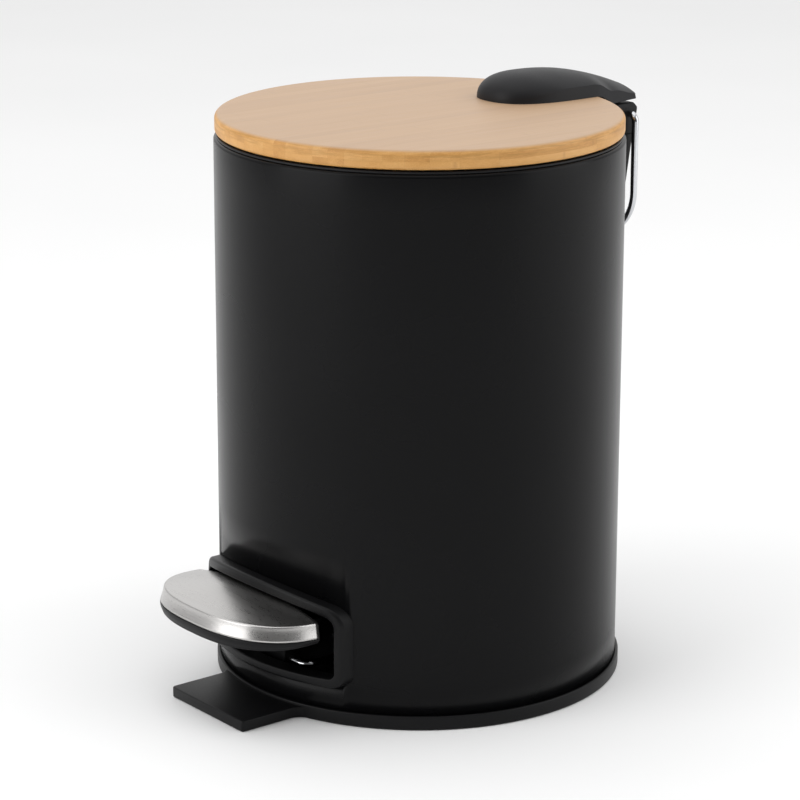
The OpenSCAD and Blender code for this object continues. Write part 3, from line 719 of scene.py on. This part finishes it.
def cover_sections(y, inset):
    """One section for each y, from the lower left edge over the ridge to the lower right. A side
    wall that leans in grows out of the nose up to a crease. Above it the height over the crease is
    H (1 - |s|^2.2)^(1/q) at a share s of the half width, where q falls from 2.3 to 1.04 backwards."""
    y = y[:, None]
    half = np.maximum(0.3, cover_half(y) - inset)
    low = cover_low(y)
    wall = 0.2 + 4.8 * smooth(40, 64, y) - 2.9 * smooth(92, 107, y)
    wall = np.minimum(wall, 0.55 * (cover_crown(y) - low))
    top = np.maximum(low + wall + 0.15, cover_crown(y) - inset)
    lean = 0.30 * wall
    q = 2.3 - 1.26 * smooth(42, 64, y)
    s = np.sin(np.linspace(-math.pi / 2, math.pi / 2, 41))[None]
    dome = low + wall + (top - low - wall) * (1 - np.abs(s) ** 2.2) ** (1 / q)
    step = np.array([0, 0.34, 0.67])[None]
    left_x, wall_z = -(half - lean * step), low + wall * step
    x = np.concatenate([left_x, s * (half - lean), -left_x[:, ::-1]], 1)
    z = np.concatenate([wall_z, dome, wall_z[:, ::-1]], 1)
    return np.stack([x, np.broadcast_to(y, x.shape), z], -1)


def hinge_cover():
    """Hinge cover: an outer and an inner skin of sections, joined along the lower edge, so that it
    is a shell with a hollow that is open towards the lid."""
    t = (1 - np.cos(np.linspace(0, math.pi, 84))) / 2
    skin = cover_sections(COVER_FRONT + (COVER_BACK - COVER_FRONT) * t, 0.0)
    front, back, wall = COVER_FRONT + 3, COVER_BACK - 1.7, 1.8
    lining = cover_sections(front + (back - front) * t, wall)
    rows, cols = skin.shape[:2]
    points = np.concatenate([skin.reshape(-1, 3), lining.reshape(-1, 3)])
    shift, last = rows * cols, (rows - 1) * cols
    faces = grid_faces(rows, cols)
    faces += [[k + shift for k in f[::-1]] for f in grid_faces(rows, cols)]
    faces += [list(range(cols))[::-1], [shift + k for k in range(cols)]]
    faces += [[last + k for k in range(cols)], [shift + last + k for k in range(cols)][::-1]]
    for edge, turn in ((0, 1), (cols - 1, -1)):
        here = [k * cols + edge for k in range(rows)]
        strip = [[a, b, shift + b, shift + a] for a, b in zip(here[:-1], here[1:])]
        faces += [f[::turn] for f in strip]
    faces += [[0, shift, shift + cols - 1, cols - 1],
              [last + cols - 1, shift + last + cols - 1, shift + last, last]]
    return points, outward(points, faces)


# ---------------------------------------------------------------- lid and bucket


def lid_board():
    """Bamboo disc: a flat board with rounded rims, turned."""
    profile = rounded([(0, LID_TOP), (LID_R, LID_TOP), (LID_R, LID_Z), (0, LID_Z)], [0, 2.2, 1.6, 0],
                      closed=False, sagitta=0.004)
    rings = np.linspace(10, LID_R - 6, 5)
    top = [(r, LID_TOP) for r in rings]
    return turned(np.concatenate([profile[:1], top, profile[1:]]), steps=240)


def lid_liner():
    """Plastic liner under the board: a plate with a skirt that reaches into the bucket."""
    low, high = corners("lid_liner")
    radius, wall, plate = high[0], 1.2, 1.6
    top = high[2] - 0.02
    section = [(0, top), (radius, top), (radius, low[2]), (radius - wall, low[2]),
               (radius - wall, high[2] - plate), (0, high[2] - plate)]
    return turned(rounded(section, [0, 0.2, 0.5, 0.5, 1.0, 0], closed=False))


def bucket():
    """Inner bucket: tapered wall, rounded floor and an outward flange, with a lug on each side."""
    low, high = corners("inner_bucket")
    top, bottom, flange, t = high[2], low[2], high[0], 1.4
    outer, foot = 76.0, 73.0
    section = rounded([(0, bottom), (foot, bottom), (outer, top - 1), (flange, top - 1), (flange, top),
                       (outer - t, top), (foot - t, bottom + t), (0, bottom + t)],
                      [0, 4, 0.8, 0.35, 0.35, 1.2, 3, 0], closed=False)
    lugs = [slab(circle(4, (0, BAIL_Z)), a, b, 0.4, axis="x") for a, b in ((70.5, 75), (-75, -70.5))]
    return together(turned(section), *lugs)


# ---------------------------------------------------------------- pieces

# Thickness of the steel sheet
SHEET = 0.6

can = mesh_piece("steel_can", can_wall(), COAT, "can", ["body_shell"])
sheet_metal(can, SHEET)
mesh_piece("foot_ring_and_toe_plate", together(base_ring(), toe_plate()), BLACK, "can",
           ["plastic_base"])
mesh_piece("window_frame", bezel_ring(), BLACK, "can", ["pedal_bezel"])
mesh_piece("rear_hinge_housing", housing(), BLACK, "can", ["hinge_housing"])
mesh_piece("bucket", bucket(), BUCKET_BLACK, "can", ["inner_bucket"])
mesh_piece("bucket_wire_handle", bucket_bail(), CHROME, "bucket_bail", ["bucket_handle"])
mesh_piece("wire_carrying_handle", bail_wire(), CHROME, "handle", ["carry_handle"])
cap = mesh_piece("steel_pedal_cap", pedal_cap(), STEEL, "pedal", ["pedal_cap"])
sheet_metal(cap, SHEET)
mesh_piece("plastic_pedal_tray", together(pedal_tray(), tray_neck()), BLACK, "pedal",
           ["pedal_tray"])
mesh_piece("wire_pedal_lever", lever_wire(), CHROME, "pedal", ["pedal_lever"])
mesh_piece("bamboo_lid_board", lid_board(), WOOD, "lid", ["lid_disc"])
mesh_piece("lid_lining_plate", lid_liner(), BUCKET_BLACK, "lid", ["lid_liner"])
mesh_piece("domed_hinge_cover", hinge_cover(), COVER_BLACK, "lid", ["hinge_cover"],
           crease=30)

NODE_FINISH = {
    ZINC: ("body_floor", "pivot_bracket", "rod_channel"),
    SCREW: ("base_screws", "bracket_rivets", "pivot_pin", "housing_screws", "hinge_pin", "liner_screws",
            "lid_screws"),
    SPRING: ("pivot_clip",),
    NATURAL: ("rod_guides", "damper_rotor"),
    DARK_PLASTIC: ("damper_cup", "rod_foot"),
    BRACKET: ("lid_bracket",),
    CHROME: ("push_rod",),
    RUBBER: ("lid_bumpers",),
}
for finish, names in NODE_FINISH.items():
    for name in names:
        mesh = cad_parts[name].data
        mesh.materials.clear()
        mesh.materials.append(finish)


# ---------------------------------------------------------------- studio


def floor_paint():
    """Pale studio floor, very slightly uneven."""
    f = Finish("pale floor")
    haze = f.noise(3, 2)
    tone = f.ramp(haze, [(0.3, (0.93, 0.93, 0.93)), (0.7, (0.95, 0.95, 0.95))])
    return f.set(Base_Color=tone, Roughness=0.9, Specular_IOR_Level=0.1)


def studio_floor(reach=6.0, level=-0.0002):
    """A large flat floor just under the can's foot."""
    mesh = bpy.data.meshes.new("studio_floor")
    mesh.from_pydata([(-reach, -reach, level), (reach, -reach, level), (reach, reach, level),
                      (-reach, reach, level)], [], [(0, 1, 2, 3)])
    mesh.materials.append(floor_paint())
    floor = bpy.data.objects.new("studio_floor", mesh)
    bpy.context.scene.collection.objects.link(floor)


CAMERA_TURN, CAMERA_RISE, CAMERA_ROLL = math.radians(51.17), math.radians(15.985), math.radians(0.24)
CAMERA_DISTANCE = 1.2688
CAMERA_AIM = Vector((0, 0, 0.1147))


def towards(turn, rise):
    """Direction from the object to a place round it: turn 0 is in front, and rise is upwards."""
    return Vector((math.sin(turn) * math.cos(rise), -math.cos(turn) * math.cos(rise), math.sin(rise)))


def studio_camera():
    """Long lens at three quarters from the front, a little from above."""
    lens = bpy.data.cameras.new("studio_camera")
    lens.sensor_width = 36
    lens.lens = 135.1
    lens.shift_x = -0.0234
    camera = bpy.data.objects.new("studio_camera", lens)
    bpy.context.scene.collection.objects.link(camera)
    back = towards(CAMERA_TURN, CAMERA_RISE)
    camera.location = CAMERA_AIM + back * CAMERA_DISTANCE
    level = back.to_track_quat("Z", "Y")
    camera.rotation_euler = (level @ Quaternion((0, 0, 1), CAMERA_ROLL)).to_euler()
    bpy.context.scene.camera = camera


def softbox(name, turn, rise, distance, width, height, power):
    """A rectangular area light that faces the can."""
    light = bpy.data.lights.new(name, "AREA")
    light.shape = "RECTANGLE"
    light.size, light.size_y = width, height
    light.energy = power
    lamp = bpy.data.objects.new(name, light)
    bpy.context.scene.collection.objects.link(lamp)
    back = towards(math.radians(turn), math.radians(rise))
    lamp.location = CAMERA_AIM + back * distance
    lamp.rotation_euler = back.to_track_quat("Z", "Y").to_euler()


def studio_sky():
    """White studio: bright overhead and behind the can, dimmer on the camera's side."""
    world = bpy.data.worlds.new("studio")
    bpy.context.scene.world = world
    world.use_nodes = True
    tree = world.node_tree
    place = tree.nodes.new("ShaderNodeTexCoord").outputs["Generated"]
    facing = tree.nodes.new("ShaderNodeVectorMath")
    facing.operation = "DOT_PRODUCT"
    tree.links.new(place, facing.inputs[0])
    facing.inputs[1].default_value = towards(CAMERA_TURN + math.pi, 0.9)
    ramp = tree.nodes.new("ShaderNodeValToRGB")
    span = tree.nodes.new("ShaderNodeMapRange")
    span.inputs["From Min"].default_value = -1
    tree.links.new(facing.outputs["Value"], span.inputs["Value"])
    tree.links.new(span.outputs[0], ramp.inputs[0])
    stops = ((0.0, 0.05), (0.34, 0.09), (0.52, 0.42), (0.8, 0.72), (0.9, 1.15))
    elements = ramp.color_ramp.elements
    while len(elements) < len(stops):
        elements.new(0.5)
    for element, (at, level) in zip(elements, stops):
        element.position = at
        element.color = (level, level, level, 1)
    tree.links.new(ramp.outputs[0], tree.nodes["Background"].inputs["Color"])
    seen = tree.nodes.new("ShaderNodeLightPath").outputs["Is Camera Ray"]
    white = tree.nodes.new("ShaderNodeBackground")
    pick = tree.nodes.new("ShaderNodeMixShader")
    tree.links.new(seen, pick.inputs[0])
    tree.links.new(tree.nodes["Background"].outputs[0], pick.inputs[1])
    tree.links.new(white.outputs[0], pick.inputs[2])
    white.inputs["Color"].default_value = (1, 1, 1, 1)
    tree.links.new(pick.outputs[0], tree.nodes["World Output"].inputs["Surface"])


studio_floor()
studio_camera()
studio_sky()
softbox("overhead_softbox", 20, 80, 2.2, 2.4, 2.4, 12)
softbox("left_softbox", -9, 20, 1.6, 1.2, 1.3, 12)
softbox("right_softbox", 133, 20, 1.6, 1.4, 1.3, 9)
bpy.context.scene.view_settings.view_transform = "Standard"
